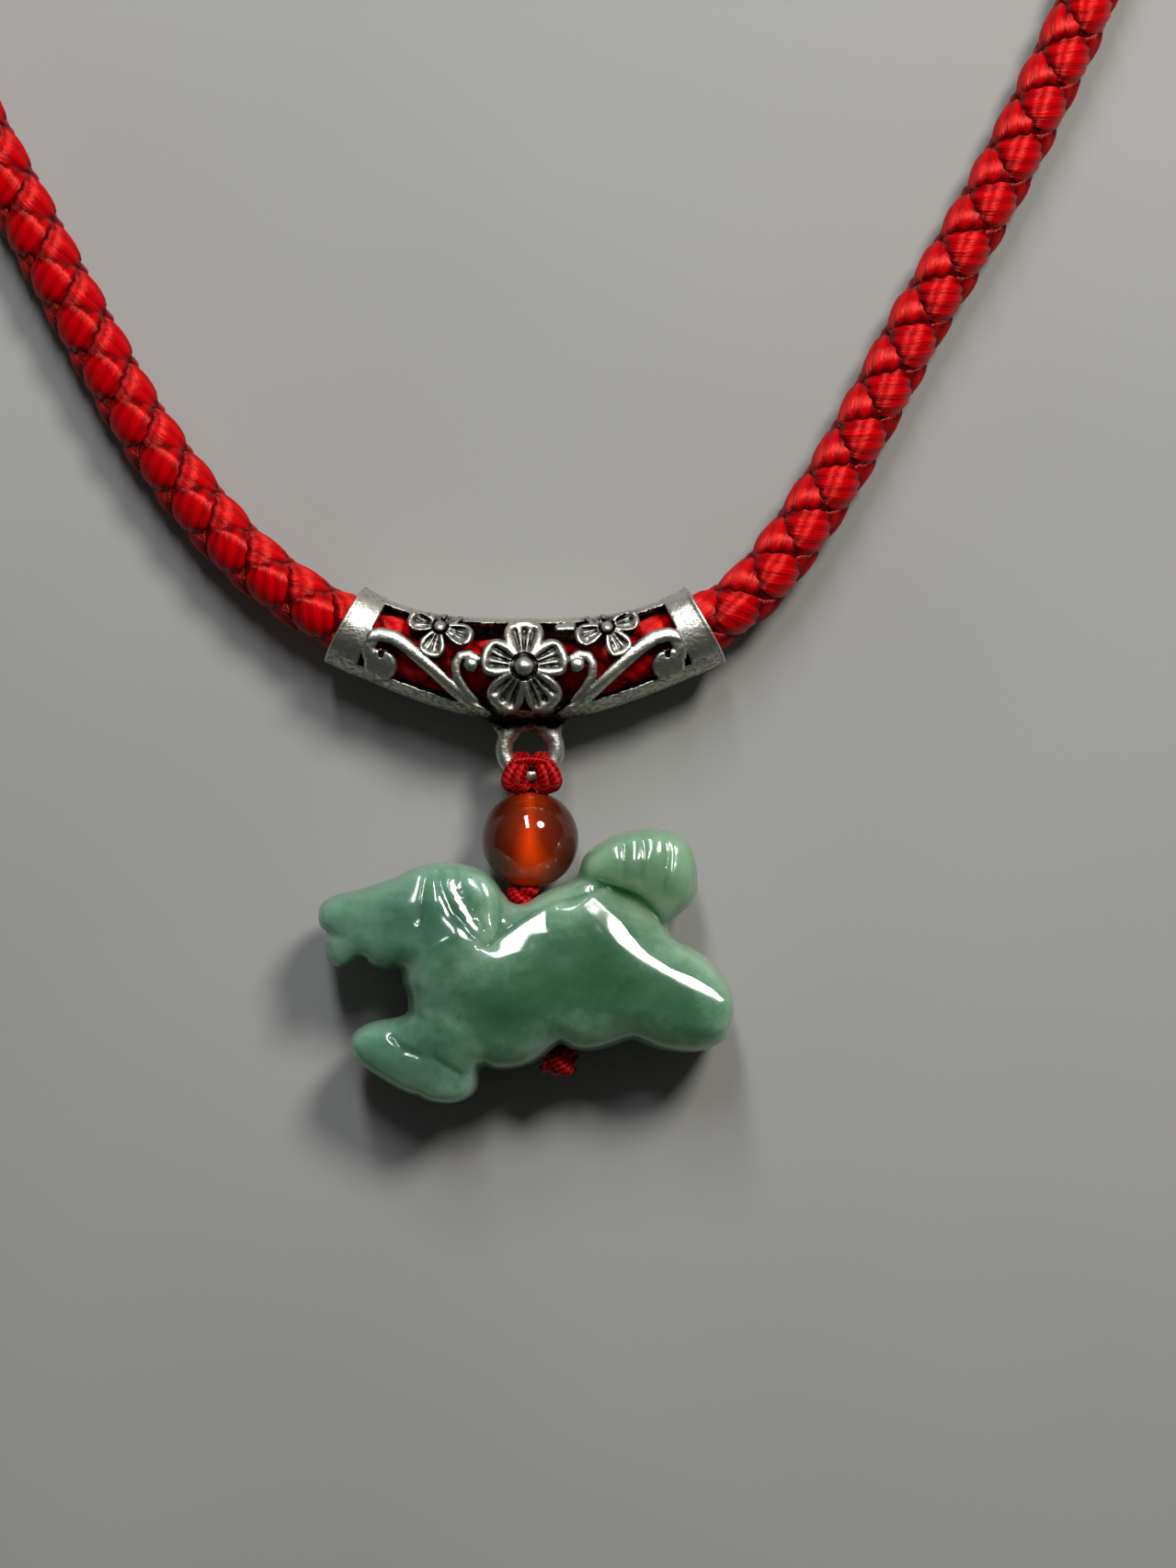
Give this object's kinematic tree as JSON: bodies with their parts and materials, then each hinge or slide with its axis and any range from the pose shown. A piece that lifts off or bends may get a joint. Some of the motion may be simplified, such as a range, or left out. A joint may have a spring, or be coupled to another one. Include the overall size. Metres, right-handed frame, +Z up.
{
  "type": "jade animal pendant necklace with an openwork silver bail on a braided cord",
  "caption": "Carved translucent green jade animal hung by a red thread and a carnelian bead from a curved openwork silver bail on a braided red neck cord.",
  "frame": {"origin": "on the surface that the necklace lies on, under the middle of the bail's tube", "axes": "+Z up from the surface, +Y from the jade figure to the bail and into the neck loop, +X to the right as seen from above, with the figure's snout at -X"},
  "size_m": [0.1088, 0.1789, 0.0109],
  "materials": {
    "red_satin_cord": "glossy satin braid of twisted plies",
    "plain_silver": "plain polished silver-coloured metal",
    "antiqued_silver": "cast silver-coloured metal, bright on the high places and dark in the recesses",
    "red_thread": "knotted glossy thread",
    "carnelian": "polished translucent red-brown stone",
    "jade": "polished translucent green stone"
  },
  "bodies": {
    "root": {"braided_cord": "red_satin_cord", "clasp": "plain_silver", "bail_tube": "antiqued_silver", "hanging_thread": "red_thread", "carnelian_bead": "carnelian", "jade_figure": "jade"}
  },
  "joints": []
}
